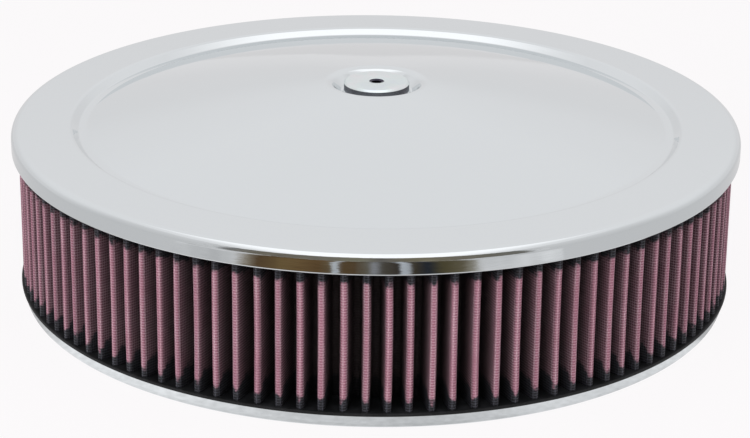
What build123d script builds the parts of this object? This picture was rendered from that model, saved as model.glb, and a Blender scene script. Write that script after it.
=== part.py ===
# Round carburetor air cleaner, 14 inch: a pressed lid, a pleated gauze element between two
# moulded seals, a shallow base pan with its neck collar, and the stud and nut that clamp them.
# Millimetres. +Z is the axis of symmetry, upwards. The origin is the middle of the flat ring
# on which the base pan stands.

from build123d import *
import os
from math import asin, atan2, cos, hypot, pi, radians, sin

# Element: the pleated ring and its two moulded seals
ELEMENT_HEIGHT = 82.55
PLEAT_COUNT = 112
PLEAT_DEPTH = 19.0
PLEAT_THICKNESS = 1.6            # gauze and both wire screens together
PLEAT_TIP_FOLD_RADIUS = 1.75     # outside of the fold at a tip
PLEAT_VALLEY_FOLD_RADIUS = 3.4   # outside of the wider fold at a valley
PLEAT_FIRST_ANGLE = -87.9        # degrees from +X, of the tip just right of the front
FOLD_FLAT_COUNT = 4              # flats that round the outside of a fold
TIP_INNER_FLAT_COUNT = 1         # flats on a tip's tight side
VALLEY_INNER_FLAT_COUNT = 3      # flats on a valley's tight side
PLEAT_TIP_INSET = 0.9            # from the seals' outside in to the pleats' tips
SEAL_INNER_MARGIN = 1.9          # from the pleats' valleys in to the seals' inside
TOP_SEAL_THICKNESS = 7.3
TOP_SEAL_ROUND = 2.0
BOTTOM_SEAL_LEDGE = 1.6          # thickness of the ledge that hangs over the pan's lip
SEAL_LEDGE_OVERHANG = 1.5        # how far the ledge stands out past the lip
SEAL_LIP_CLEARANCE = 0.4         # between the bottom seal and the inside of the lip
SEAL_LEDGE_CLEARANCE = 0.2       # between the ledge and the lip's edge
SEAL_STEP_CLEARANCE = 1.0        # between the bottom seal and the pan's step

# Base pan
PAN_SHEET = 1.0
PAN_LIP_INSET = 4.0              # from the lid's rim in to the outside of the pan's lip
PAN_LIP_HEIGHT = 6.5
PAN_CORNER_RADIUS = 3.0
PAN_SHELF_HEIGHT = 4.0           # underside of the raised middle, over the rest ring
PAN_STEP_RUN = 4.0               # width of the slope between rest ring and raised middle
PAN_STEP_ROUND = 2.0
NECK_RADIUS = 65.2               # inside of the collar, for a 5 1/8 in neck
COLLAR_HEIGHT = 12.0             # over the underside of the raised middle
COLLAR_BEND_RADIUS = 2.0

# Neck gasket
GASKET_THICKNESS = 3.0
GASKET_WIDTH = 10.0
GASKET_NECK_CLEARANCE = 0.8      # between the collar's bore and the gasket's

# Lid
LID_DIAMETER = 355.6
LID_SHEET = 0.9
LID_SKIRT_HEIGHT = 10.0
LID_CORNER_RADIUS = 4.0
FLANGE_WIDTH = 29.8              # from the lid's rim in to the step
STEP_RUN = 3.6
STEP_DROP = 2.5
STEP_ROUND = 4.0
CROWN_RISE = 22.35               # from the foot of the step to the rim of the recess
CROWN_RADIUS = 1400.0            # of the crown's gentle arc
RECESS_NUT_CLEARANCE = 1.4       # between the nut and the foot of the recess wall
RECESS_WALL_RUN = 5.4
RECESS_DEPTH = 6.2
RECESS_RIM_ROUND = 1.5
RECESS_FLOOR_ROUND = 1.0
STUD_HOLE_CLEARANCE = 0.4

# Stud, 1/4-20, with its threads left plain
STUD_THREAD_RADIUS = 3.175
STUD_SHANK_RADIUS = 2.75
STUD_FOOT_OVER_COLLAR = 5.1      # from the collar's top up to the stud's lower end
STUD_LOWER_THREAD = 16.0
STUD_UPPER_THREAD = 25.0
STUD_END_CHAMFER = 0.8
STUD_TOP_BELOW_NUT = 1.5         # the stud's end, under the nut's top face

# Nut and its captive washer
NUT_RADIUS = 16.0
NUT_HEIGHT = 5.0
NUT_TOP_CHAMFER = 1.0
NUT_BOTTOM_CHAMFER = 0.5
NUT_THREAD_CLEARANCE = 0.05
COUNTERSINK_DEPTH = 0.8
SPIGOT_RADIUS = 6.0
SPIGOT_FLOOR_CLEARANCE = 0.3
WASHER_THICKNESS = 1.0
WASHER_WIDTH = 4.92              # from its bore out
WASHER_SPIGOT_CLEARANCE = 0.08

# Radii, inwards from the lid's rim
LID_RADIUS = LID_DIAMETER / 2
FLANGE_INNER_RADIUS = LID_RADIUS - FLANGE_WIDTH
PAN_LIP_RADIUS = LID_RADIUS - PAN_LIP_INSET
SEAL_OUTER_RADIUS = PAN_LIP_RADIUS + SEAL_LEDGE_OVERHANG
PLEAT_TIP_RADIUS = SEAL_OUTER_RADIUS - PLEAT_TIP_INSET
PLEAT_VALLEY_RADIUS = PLEAT_TIP_RADIUS - PLEAT_DEPTH
SEAL_INNER_RADIUS = PLEAT_VALLEY_RADIUS - SEAL_INNER_MARGIN
GASKET_INNER_RADIUS = NECK_RADIUS + GASKET_NECK_CLEARANCE
GASKET_OUTER_RADIUS = GASKET_INNER_RADIUS + GASKET_WIDTH
RECESS_FLOOR_RADIUS = NUT_RADIUS + RECESS_NUT_CLEARANCE
RECESS_RIM_RADIUS = RECESS_FLOOR_RADIUS + RECESS_WALL_RUN
WASHER_INNER_RADIUS = SPIGOT_RADIUS + WASHER_SPIGOT_CLEARANCE
WASHER_OUTER_RADIUS = WASHER_INNER_RADIUS + WASHER_WIDTH

# Levels up the axis
ELEMENT_BOTTOM = PAN_SHEET
ELEMENT_TOP = ELEMENT_BOTTOM + ELEMENT_HEIGHT
LEDGE_BOTTOM = PAN_LIP_HEIGHT + SEAL_LEDGE_CLEARANCE
LEDGE_TOP = LEDGE_BOTTOM + BOTTOM_SEAL_LEDGE
TOP_SEAL_BOTTOM = ELEMENT_TOP - TOP_SEAL_THICKNESS
FLANGE_TOP = ELEMENT_TOP + LID_SHEET
CROWN_FOOT = FLANGE_TOP - STEP_DROP
CROWN_TOP = CROWN_FOOT + CROWN_RISE
RECESS_FLOOR = CROWN_TOP - RECESS_DEPTH
NUT_BOTTOM = RECESS_FLOOR + WASHER_THICKNESS
NUT_TOP = NUT_BOTTOM + NUT_HEIGHT
STUD_TOP = NUT_TOP - STUD_TOP_BELOW_NUT
COLLAR_TOP = PAN_SHELF_HEIGHT + COLLAR_HEIGHT
STUD_BOTTOM = COLLAR_TOP + STUD_FOOT_OVER_COLLAR


def rounded(shape, point, radius):
    """The shape with its corner nearest this point rounded."""
    corner = shape.vertices().sort_by_distance(point)[0]
    return fillet(corner, radius)


def turned(section):
    """A solid turned about the axis from a section drawn as radius and height."""
    return revolve(Plane.XZ * section, Axis.Z)


def outline(*points):
    """A section with straight sides through these points."""
    return make_face(Polyline(*points, close=True))


def turned_ring(inner, outer, bottom, top):
    """A ring with a plain rectangular section."""
    return turned(outline((inner, bottom), (outer, bottom), (outer, top), (inner, top)))


def turned_sheet(skin, thickness):
    """A turned sheet, from the skin that is drawn and its thickness to the left of it."""
    return turned(make_face(offset(skin, thickness, side=Side.LEFT)))


def base_plate():
    """The pan: collar, raised middle, step down to the rest ring, and the lip round it."""
    step_foot = SEAL_INNER_RADIUS - SEAL_STEP_CLEARANCE - PAN_SHEET
    collar_corner = (NECK_RADIUS, PAN_SHELF_HEIGHT)
    step_top_corner = (step_foot - PAN_STEP_RUN, PAN_SHELF_HEIGHT)
    step_foot_corner = (step_foot, 0)
    lip_corner = (PAN_LIP_RADIUS, 0)
    underside = Polyline(
        (NECK_RADIUS, COLLAR_TOP),
        collar_corner,
        step_top_corner,
        step_foot_corner,
        lip_corner,
        (PAN_LIP_RADIUS, PAN_LIP_HEIGHT),
    )
    underside = rounded(underside, collar_corner, COLLAR_BEND_RADIUS)
    underside = rounded(underside, step_top_corner, PAN_STEP_ROUND)
    underside = rounded(underside, step_foot_corner, PAN_STEP_ROUND)
    underside = rounded(underside, lip_corner, PAN_CORNER_RADIUS)
    return turned_sheet(underside, PAN_SHEET)


def neck_gasket():
    """The flat ring under the raised middle, round the neck."""
    top = PAN_SHELF_HEIGHT
    return turned_ring(GASKET_INNER_RADIUS, GASKET_OUTER_RADIUS, top - GASKET_THICKNESS, top)


def bottom_seal():
    """The moulded ring in the pan, with the ledge that hangs over the pan's lip."""
    body_radius = PAN_LIP_RADIUS - PAN_SHEET - SEAL_LIP_CLEARANCE
    corner_chamfer = PAN_CORNER_RADIUS - PAN_SHEET
    section = outline(
        (SEAL_INNER_RADIUS, ELEMENT_BOTTOM),
        (body_radius - corner_chamfer, ELEMENT_BOTTOM),
        (body_radius, ELEMENT_BOTTOM + corner_chamfer),
        (body_radius, LEDGE_BOTTOM),
        (SEAL_OUTER_RADIUS, LEDGE_BOTTOM),
        (SEAL_OUTER_RADIUS, LEDGE_TOP),
        (SEAL_INNER_RADIUS, LEDGE_TOP),
    )
    return turned(section)


def top_seal():
    """The moulded ring under the lid's flange, rounded to clear the lid's corner."""
    top_corner = (SEAL_OUTER_RADIUS, ELEMENT_TOP)
    section = outline(
        (SEAL_INNER_RADIUS, TOP_SEAL_BOTTOM),
        (SEAL_OUTER_RADIUS, TOP_SEAL_BOTTOM),
        top_corner,
        (SEAL_INNER_RADIUS, ELEMENT_TOP),
    )
    return turned(rounded(section, top_corner, TOP_SEAL_ROUND))


def polar(radius, angle):
    """The point at this radius and angle round the axis, as x and y."""
    return Vector(radius * cos(angle), radius * sin(angle))


def fold(centre, radius, facing, half_turn, flats):
    """Points round a fold's centre, from half_turn one side of where it faces to the other."""
    step = 2 * half_turn / flats
    return [centre + polar(radius, facing - half_turn + step * i) for i in range(flats + 1)]


def pleat_skin(tip_round, tip_flats, valley_round, valley_flats):
    """One side of the pleated ribbon, as a closed outline through every tip and valley."""
    tip_centre = PLEAT_TIP_RADIUS - PLEAT_TIP_FOLD_RADIUS
    valley_centre = PLEAT_VALLEY_RADIUS + PLEAT_VALLEY_FOLD_RADIUS
    half_pitch = pi / PLEAT_COUNT
    # The flank is tangent to both folds, on their opposite sides
    across = valley_centre * sin(half_pitch)
    along = tip_centre - valley_centre * cos(half_pitch)
    both_folds = PLEAT_TIP_FOLD_RADIUS + PLEAT_VALLEY_FOLD_RADIUS - PLEAT_THICKNESS
    lean = atan2(across, along) - asin(both_folds / hypot(across, along))
    tip_half_turn = pi / 2 - lean
    valley_half_turn = tip_half_turn - half_pitch
    points = []
    for i in range(PLEAT_COUNT):
        tip_angle = radians(PLEAT_FIRST_ANGLE) + 2 * half_pitch * i
        tip = polar(tip_centre, tip_angle)
        points += fold(tip, tip_round, tip_angle, tip_half_turn, tip_flats)
        valley_angle = tip_angle + half_pitch
        valley = polar(valley_centre, valley_angle)
        points += fold(valley, valley_round, valley_angle + pi, -valley_half_turn, valley_flats)
    return Wire(Polyline(*points, close=True).edges())


def pleated_media():
    """The gauze and its wire screens, folded as one ribbon between the seals."""
    tip_inner = PLEAT_TIP_FOLD_RADIUS - PLEAT_THICKNESS
    valley_inner = PLEAT_VALLEY_FOLD_RADIUS - PLEAT_THICKNESS
    outside = pleat_skin(
        PLEAT_TIP_FOLD_RADIUS, FOLD_FLAT_COUNT, valley_inner, VALLEY_INNER_FLAT_COUNT
    )
    inside = pleat_skin(
        tip_inner, TIP_INNER_FLAT_COUNT, PLEAT_VALLEY_FOLD_RADIUS, FOLD_FLAT_COUNT
    )
    ribbon = Pos(0, 0, LEDGE_TOP) * Face(outside, [inside])
    return extrude(ribbon, TOP_SEAL_BOTTOM - LEDGE_TOP)


def lid():
    """The pressed cover: skirt, flat flange, step, crown and the recess for the nut."""
    flange_corner = (LID_RADIUS, FLANGE_TOP)
    step_edge = (FLANGE_INNER_RADIUS, FLANGE_TOP)
    crown_foot = (FLANGE_INNER_RADIUS - STEP_RUN, CROWN_FOOT)
    recess_rim = (RECESS_RIM_RADIUS, CROWN_TOP)
    recess_foot = (RECESS_FLOOR_RADIUS, RECESS_FLOOR)
    outer_part = Polyline(
        (LID_RADIUS, FLANGE_TOP - LID_SKIRT_HEIGHT),
        flange_corner,
        step_edge,
        crown_foot,
    )
    crown = RadiusArc(crown_foot, recess_rim, -CROWN_RADIUS)
    recess = Polyline(
        recess_rim,
        recess_foot,
        (STUD_THREAD_RADIUS + STUD_HOLE_CLEARANCE, RECESS_FLOOR),
    )
    top_skin = Wire(outer_part.edges() + crown.edges() + recess.edges())
    top_skin = rounded(top_skin, flange_corner, LID_CORNER_RADIUS)
    top_skin = rounded(top_skin, step_edge, STEP_ROUND)
    top_skin = rounded(top_skin, crown_foot, STEP_ROUND)
    top_skin = rounded(top_skin, recess_rim, RECESS_RIM_ROUND)
    top_skin = rounded(top_skin, recess_foot, RECESS_FLOOR_ROUND)
    return turned_sheet(top_skin, LID_SHEET)


def stud():
    """The stud, with a threaded length at each end and a thinner shank between."""
    end_radius = STUD_THREAD_RADIUS - STUD_END_CHAMFER
    section = outline(
        (0, STUD_BOTTOM),
        (end_radius, STUD_BOTTOM),
        (STUD_THREAD_RADIUS, STUD_BOTTOM + STUD_END_CHAMFER),
        (STUD_THREAD_RADIUS, STUD_BOTTOM + STUD_LOWER_THREAD),
        (STUD_SHANK_RADIUS, STUD_BOTTOM + STUD_LOWER_THREAD),
        (STUD_SHANK_RADIUS, STUD_TOP - STUD_UPPER_THREAD),
        (STUD_THREAD_RADIUS, STUD_TOP - STUD_UPPER_THREAD),
        (STUD_THREAD_RADIUS, STUD_TOP - STUD_END_CHAMFER),
        (end_radius, STUD_TOP),
        (0, STUD_TOP),
    )
    return turned(section)


def nut_washer():
    """The seal washer that the nut's spigot carries."""
    return turned_ring(WASHER_INNER_RADIUS, WASHER_OUTER_RADIUS, RECESS_FLOOR, NUT_BOTTOM)


def lid_nut():
    """The round nut: chamfered rim, countersunk hole, and the spigot through the washer."""
    bore = STUD_THREAD_RADIUS + NUT_THREAD_CLEARANCE
    spigot_end = RECESS_FLOOR + SPIGOT_FLOOR_CLEARANCE
    section = outline(
        (bore, spigot_end),
        (SPIGOT_RADIUS, spigot_end),
        (SPIGOT_RADIUS, NUT_BOTTOM),
        (NUT_RADIUS - NUT_BOTTOM_CHAMFER, NUT_BOTTOM),
        (NUT_RADIUS, NUT_BOTTOM + NUT_BOTTOM_CHAMFER),
        (NUT_RADIUS, NUT_TOP - NUT_TOP_CHAMFER),
        (NUT_RADIUS - NUT_TOP_CHAMFER, NUT_TOP),
        (bore + COUNTERSINK_DEPTH, NUT_TOP),
        (bore, NUT_TOP - COUNTERSINK_DEPTH),
    )
    return turned(section)


pieces = {
    "base_plate": base_plate(),
    "neck_gasket": neck_gasket(),
    "bottom_seal": bottom_seal(),
    "pleated_media": pleated_media(),
    "top_seal": top_seal(),
    "lid": lid(),
    "stud": stud(),
    "nut_washer": nut_washer(),
    "lid_nut": lid_nut(),
}

os.makedirs("parts", exist_ok=True)
for name, piece in pieces.items():
    export_step(piece, f"parts/{name}.step")
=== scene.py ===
# A round carburetor air cleaner, dressed and lit as a studio picture of it.
# Sizes are written in millimetres and turned to metres where a mesh is made. +Z is the axis of
# symmetry, and the front is towards -Y.

import random
from math import asin, atan2, cos, hypot, pi, radians, sin, tan

import bpy
import numpy as np
from mathutils import Matrix, Vector


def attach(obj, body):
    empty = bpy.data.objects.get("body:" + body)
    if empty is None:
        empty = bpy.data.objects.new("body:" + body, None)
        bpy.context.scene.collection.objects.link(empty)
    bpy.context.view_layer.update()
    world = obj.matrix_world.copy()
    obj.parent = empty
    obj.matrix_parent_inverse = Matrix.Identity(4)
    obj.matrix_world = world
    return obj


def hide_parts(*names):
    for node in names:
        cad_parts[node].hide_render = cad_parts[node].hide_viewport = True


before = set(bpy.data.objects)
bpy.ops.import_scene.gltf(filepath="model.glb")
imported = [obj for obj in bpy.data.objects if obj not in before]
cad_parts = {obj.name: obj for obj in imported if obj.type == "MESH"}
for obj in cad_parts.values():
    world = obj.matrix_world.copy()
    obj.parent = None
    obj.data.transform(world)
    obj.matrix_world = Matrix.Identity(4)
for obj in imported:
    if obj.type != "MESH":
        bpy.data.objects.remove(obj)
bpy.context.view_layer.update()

MM = 0.001

# Lid
LID_RADIUS = 177.8
LID_SHEET = 0.9
SKIRT_BOTTOM = 74.45
SKIRT_CORNER_ROUND = 4.0
SKIRT_CURL_RUN = 0.22            # of the skirt's lower edge, which curls in a little
SKIRT_CURL_RISE = 0.85
SKIRT_CURL_ROUND = 0.9
FLANGE_TOP = 84.45
FLANGE_RISE = 0.9                # of the flange, from its rim to the step
FLANGE_INNER_RADIUS = 148.9
STEP_RUN = 3.6
STEP_DROP = 2.42                 # from the flange's rim to the foot of the step
STEP_ROUND = 2.5
STEP_FOOT_ROUND = 1.0
CROWN_FOOT_RADIUS = 141.6        # where the crown starts, over a level ring inside the step
CROWN_TOP = 104.3
CROWN_BULGE = 2.61               # of the crown's arc, between its ends' tangents and its chord
CROWN_ROUND = 1335.0
RECESS_RIM_RADIUS = 22.8
RECESS_RIM_ROUND = 5.0
RECESS_FLOOR_RADIUS = 17.4
RECESS_FLOOR = 98.1
RECESS_FLOOR_ROUND = 2.0
LID_HOLE_RADIUS = 3.575

# Base pan
PAN_SHEET = 1.0
PAN_LIP_RADIUS = 173.8
PAN_LIP_HEIGHT = 6.5
PAN_LIP_CORNER_ROUND = 3.0
PAN_STEP_FOOT_RADIUS = 151.5
PAN_STEP_RUN = 4.0
PAN_STEP_ROUND = 2.0
PAN_SHELF_HEIGHT = 4.0
COLLAR_RADIUS = 65.2
COLLAR_TOP = 16.0
COLLAR_BEND_ROUND = 2.0

# Neck gasket
GASKET_INNER_RADIUS = 66.0
GASKET_OUTER_RADIUS = 76.0
GASKET_BOTTOM = 1.0
GASKET_EDGE_ROUND = 0.4

# Element
ELEMENT_BOTTOM = 1.0
ELEMENT_TOP = 83.55
SEAL_INNER_RADIUS = 153.5
SEAL_OUTER_RADIUS = 175.3
SEAL_BODY_RADIUS = 172.4
LEDGE_BOTTOM = 6.7
LEDGE_TOP = 8.3
LEDGE_INNER_ROUND = 0.2
TOP_SEAL_BOTTOM = 76.25
TOP_SEAL_ROUND = 2.0
SEAL_EDGE_ROUND = 0.5
PLEAT_COUNT = 112
PLEAT_TIP_RADIUS = 174.4
PLEAT_DEPTH = 19.0
PLEAT_THICKNESS = 1.6
PLEAT_TIP_FOLD_RADIUS = 1.75     # outside of the fold at a tip
PLEAT_VALLEY_FOLD_RADIUS = 3.4   # outside of the wider fold at a valley
PLEAT_FIRST_ANGLE = -87.9        # degrees from +X, of the tip just right of the front
PLEAT_SUNK = 0.6                 # how far the ribbon's ends are set into the seals
# How far a pleat may be off: its tip set back, then its tip, valley and bow in degrees
TIP_SETBACK = 0.25
TIP_SHIFT = 0.11
VALLEY_SHIFT = 0.12
PLEAT_BOW = 0.12

# Nut, washer and stud, with the 1/4-20 thread
NUT_RADIUS = 16.0
NUT_BOTTOM = 99.1
NUT_TOP = 104.1
NUT_TOP_CHAMFER = 1.0
NUT_BOTTOM_CHAMFER = 0.5
COUNTERSINK = 0.8
SPIGOT_RADIUS = 6.0
SPIGOT_END = 98.4
NUT_BORE_RADIUS = 3.225
NUT_LEAD_IN = 0.4                # how much wider the hole's lower end is
NUT_EDGE_ROUND = 0.15
NUT_TURNING_PITCH = 1.0          # of the rings that the lathe left, coarser than real
KNURL_COUNT = 84
KNURL_PITCH = 1.2
KNURL_DEPTH = 0.32
KNURL_MARGIN = 0.2               # left plain at both ends of the knurl
WASHER_INNER_RADIUS = 6.08
WASHER_OUTER_RADIUS = 11.0
WASHER_EDGE_ROUND = 0.2
STUD_BOTTOM = 21.1
STUD_TOP = 102.6
STUD_SHANK_RADIUS = 2.75
STUD_LOWER_THREAD_END = 37.1
STUD_UPPER_THREAD_START = 77.6
STUD_END_RADIUS = 2.375
THREAD_RUN_OUT = 0.3             # between the stud's threads and its shank
THREAD_PITCH = 1.27
THREAD_MAJOR_RADIUS = 3.175
THREAD_MINOR_RADIUS = 2.395
NUT_THREAD_MINOR_RADIUS = 2.49
THREAD_STEPS_PER_PITCH = 16

# Wire screen over the gauze. Real screens have finer wire: it is drawn thick enough to show
WIRE_COLUMN_PITCH = 1.15
WIRE_ROW_PITCH = 1.3
# Painted shade: levels of the cloth's and the wires' colour, darker by their share of the pleats'
# depth
CLOTH_SHADE_LEVELS = [
    (0.0, 1.0), (0.012, 0.95), (0.03, 0.68), (0.05, 0.42), (0.09, 0.3), (0.3, 0.2), (0.9, 0.07),
]
WIRE_SHADE_LEVELS = [
    (0.0, 1.0), (0.015, 0.97), (0.03, 0.8), (0.05, 0.62), (0.09, 0.55), (0.3, 0.4), (0.6, 0.15),
    (0.9, 0.04),
]
WIRE_HALF_WIDTH = 0.26           # share of the pitch from a wire's middle to its edge
WIRE_HALF_TOP = 0.04             # and to the edge of its level top
# Black polyurethane soaked into the gauze
BLACK_TIP_BOTTOM = 8.5           # least height of the lower one's edge, at a tip
BLACK_TIP_TOP = 73.2             # greatest height of the upper one's edge, at a tip
BLACK_RAGGED = 9.0               # how far the edge wavers beyond those
BLACK_SIDE_DEPTH = 4.0           # how far behind the tips it reaches its full height
BLACK_SIDE_RISE_BOTTOM = 5.0     # how much further it reaches on the pleats' sides
BLACK_SIDE_RISE_TOP = 0.5
BLACK_EDGE_SOFTNESS = 1.4

DARK_MARGIN = 0.05                # so that the painted shade and oil cover a face whole

LATHE_STEPS = 384
STUD_STEPS = 40
SHARP_ANGLE = 32.0               # degrees, between the faces of a sharp edge
SAME_RADIUS = 0.01               # radii closer than this are the same

# Studio. Levels are against white, which is 1
WALL_LIGHT = 0.42                # that the walls give to plain surfaces
SOFTBOX_LIGHT = 1.4
SOFTBOX_SHINE = 1.44             # that the chrome sees
FRONT_LIGHT = 3.6
FLOOR_CARD_LEVEL = 0.72
DARK_ROOM_LEVEL = 0.74
# Levels of the walls by elevation in degrees
FRONT_WALL_LEVELS = [(-90, 0.7), (0, 0.7), (19, 0.75), (39, 0.82), (55, 0.97), (90, 1.0)]
BACK_WALL_LEVELS = [
    (-90, 1.0), (-14, 0.95), (-7, 0.87), (6, 0.845), (14, 0.88), (21, 0.94), (32, 0.99),
    (47, 1.0), (90, 1.0),
]
# What the chrome shows along the front of the skirt, by degrees from straight in front. None is
# the grey all round
FLOOR_FLAG_COLOURS = [
    (-32.0, None), (-29.0, "#8A8072"), (-26.0, "#5A4733"), (-21.0, "#6F5B3D"),
    (-12.5, "#6A5236"), (-9.6, "#6E6049"), (-8.9, "#C8CCD2"), (-8.2, "#BFC2C6"),
    (-7.4, "#5C4A33"), (-4.0, "#54432F"), (-1.5, "#5F5A50"), (0.0, "#86868A"),
    (2.0, "#4B463E"), (4.8, "#3C3530"), (5.8, "#C8CCD2"), (7.2, "#B9BCC2"),
    (8.2, "#4B4233"), (12.0, "#2A303A"), (16.0, "#5C543C"), (19.5, "#6A6250"),
    (21.5, "#8F8A80"), (24.0, None),
]
DARK_ROOM_COLOURS = [
    (-46.0, None), (-43.0, "#8A8888"), (-34.0, "#7B7468"), (-15.0, "#7A746A"),
    (-5.0, "#85806F"), (2.0, "#6E6A66"), (12.0, "#827A66"), (24.0, "#7B7468"),
    (43.0, "#76746E"), (46.0, None),
]
# Levels of the floor that the base's lip shows, by degrees from straight in front, against
# LIP_CARD_SHINE
LIP_CARD_SHINE = 1.1
LIP_CARD_LEVELS = [
    (-90.0, 0.65), (-68.0, 0.6), (-60.0, 0.9), (-54.0, 0.98), (-33.0, 0.97), (-22.0, 0.84),
    (-12.0, 0.74), (-2.0, 0.705), (7.0, 0.64), (17.0, 0.69), (28.0, 0.88), (40.0, 0.8),
    (49.0, 0.86), (62.0, 0.92), (66.0, 0.55), (73.0, 0.5), (90.0, 0.65),
]
# The studio is in metres. Inner and outer radius and height of the floor's cards
GREY_CARD_RING = (0.176, 5.9, 0.0006)
LIP_CARD_RING = (0.1731, 0.2, 0.0009)
FLAG_CARD_RING = (0.27, 1.3, 0.0012)
DARK_ROOM_WALL = (1.8, -1.45, 1.5)   # half its width, its place along Y and its height
SOFTBOX_HEIGHT = 1.2
SOFTBOX_PLACE = -0.56            # along Y
FLOOR_HALF_SIZE = 6.0
PAPER_OWN_WHITE = 0.95           # share that the camera and the chrome see
# The camera was fitted to the photograph's curves. Its pitch and roll are in radians
CAMERA_PLACE = (0.0, -1.1957, 0.4986)
CAMERA_PITCH = 0.3724
CAMERA_ROLL = 0.0119
CAMERA_LENS = 123.68
CAMERA_SENSOR = 36.0


def linear(hex_colour):
    """The linear colour of an sRGB hex value."""
    channels = [int(hex_colour[i:i + 2], 16) / 255 for i in (1, 3, 5)]
    return [c / 12.92 if c <= 0.04045 else ((c + 0.055) / 1.055) ** 2.4 for c in channels] + [1.0]


def right_of(direction):
    """The direction to the right of this one, which is outside a section."""
    return np.array([direction[1], -direction[0]])


def turned_by(vector, angle):
    """The vector turned anticlockwise by an angle."""
    x, y = vector
    return np.array([x * cos(angle) - y * sin(angle), x * sin(angle) + y * cos(angle)])


def rounded_section(corners, closed=False):
    """Points along a section and their outward normals, from its corners as
    (radius, height, rounding, steps round the corner)."""
    spots = [np.array(corner[:2], float) for corner in corners]
    last = len(corners) - 1
    points = []
    normals = []
    for i, (_, _, rounding, steps) in enumerate(corners):
        here = spots[i]
        before = here - spots[i - 1]
        after = spots[(i + 1) % len(spots)] - here
        if not closed and i == 0:
            before = after
        if not closed and i == last:
            after = before
        before = before / np.linalg.norm(before)
        after = after / np.linalg.norm(after)
        turn = atan2(before[0] * after[1] - before[1] * after[0], before @ after)
        reach = rounding * tan(abs(turn) / 2)
        side = 1 if turn > 0 else -1
        centre = here - before * reach - side * rounding * right_of(before)
        for step in range(steps + 1):
            share = step / steps if steps else 0.5
            outward = turned_by(right_of(before), turn * share)
            points.append(centre + side * rounding * outward)
            normals.append(outward)
    return np.array(points), np.array(normals)


def sheet_section(corners, thickness, edge_steps=5):
    """A pressed sheet's section: the drawn skin, the same skin a thickness inside it, and
    rounded cut edges between them."""
    points, normals = rounded_section(corners)
    inner = points - normals * thickness

    def cut_edge(end, outward):
        middle = end - outward * thickness / 2
        turns = [pi * (i + 1) / (edge_steps + 1) for i in range(edge_steps)]
        fronts = [turned_by(outward, turn) for turn in turns]
        return [middle + front * thickness / 2 for front in fronts], fronts

    far_points, far_normals = cut_edge(points[-1], normals[-1])
    near_points, near_normals = cut_edge(inner[0], -normals[0])
    all_points = [*points, *far_points, *inner[::-1], *near_points]
    all_normals = [*normals, *far_normals, *-normals[::-1], *near_normals]
    return np.array(all_points), np.array(all_normals)


def new_object(name, data):
    """A new object in the scene."""
    made = bpy.data.objects.new(name, data)
    bpy.context.scene.collection.objects.link(made)
    return made


def skin_mesh(name, rows, closed=True, normals=None):
    """A piece whose skin joins rows of points, each row a ring round the axis: the last row
    to the first, or else both are capped. rows has the shape (rows, points in a ring, 3), in
    millimetres."""
    row_count, ring_count = rows.shape[:2]
    index = np.arange(row_count * ring_count).reshape(row_count, ring_count)
    along = np.roll(index, -1, axis=1)
    if closed:
        lower, lower_next = index, along
        upper, upper_next = np.roll(index, -1, axis=0), np.roll(along, -1, axis=0)
    else:
        lower, lower_next = index[:-1], along[:-1]
        upper, upper_next = index[1:], along[1:]
    quads = np.stack([lower, lower_next, upper_next, upper], axis=-1).reshape(-1, 4).tolist()
    if not closed:
        quads.append(index[0][::-1].tolist())
        quads.append(index[-1].tolist())
    mesh = bpy.data.meshes.new(name)
    mesh.from_pydata((rows.reshape(-1, 3) * MM).tolist(), [], quads)
    mesh.shade_smooth()
    if normals is None:
        mesh.set_sharp_from_angle(angle=radians(SHARP_ANGLE))
    else:
        mesh.normals_split_custom_set_from_vertices(normals.reshape(-1, 3).tolist())
    return new_object(name, mesh)


def ring_angles(steps):
    """Angles round the axis, one for each step."""
    return np.arange(steps) * 2 * pi / steps


def turned_piece(name, section, steps=LATHE_STEPS):
    """A piece turned about the axis from a closed section of points and normals."""
    points, normals = section
    angles = ring_angles(steps)
    spin = np.stack([np.cos(angles), np.sin(angles)], axis=-1)

    def spun(values):
        radial = values[:, None, 0, None] * spin[None]
        height = np.broadcast_to(values[:, None, 1, None], radial.shape[:2] + (1,))
        return np.concatenate([radial, height], axis=-1)

    return skin_mesh(name, spun(points), normals=spun(normals))


def finish_piece(piece, body, material, replaced):
    """The piece's material, the body that it rides on and the CAD node that it stands for."""
    piece.data.materials.append(material)
    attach(piece, body)
    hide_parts(replaced)


# Materials

def add(tree, kind, inputs=None, stops=None, **settings):
    """A new node with its settings, and a colour ramp's stops as (place, linear colour). Its
    inputs are set to values, or linked from sockets or from the output a node has in use."""
    made = tree.nodes.new(kind)
    for name, value in settings.items():
        setattr(made, name, value)
    for socket, value in (inputs or {}).items():
        if isinstance(value, bpy.types.Node):
            value = next(output for output in value.outputs if output.enabled)
        if isinstance(value, bpy.types.NodeSocket):
            tree.links.new(value, made.inputs[socket])
        else:
            made.inputs[socket].default_value = value
    if stops:
        elements = made.color_ramp.elements
        while len(elements) < len(stops):
            elements.new(0.5)
        for element, (place, colour) in zip(elements, stops):
            element.position = place
            element.color = colour
    return made


def node_material(name, surface_of, *details):
    """A material whose surface is the shader that surface_of adds to its tree."""
    material = bpy.data.materials.new(name)
    material.use_nodes = True
    tree = material.node_tree
    tree.nodes.clear()
    add(tree, "ShaderNodeOutputMaterial", {"Surface": surface_of(tree, *details)})
    return material


def from_axis(tree, place):
    """How far a place is from the axis of symmetry."""
    flat = add(tree, "ShaderNodeVectorMath", {0: place, 1: (1.0, 1.0, 0.0)}, operation="MULTIPLY")
    return add(tree, "ShaderNodeVectorMath", {0: flat}, operation="LENGTH")


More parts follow.
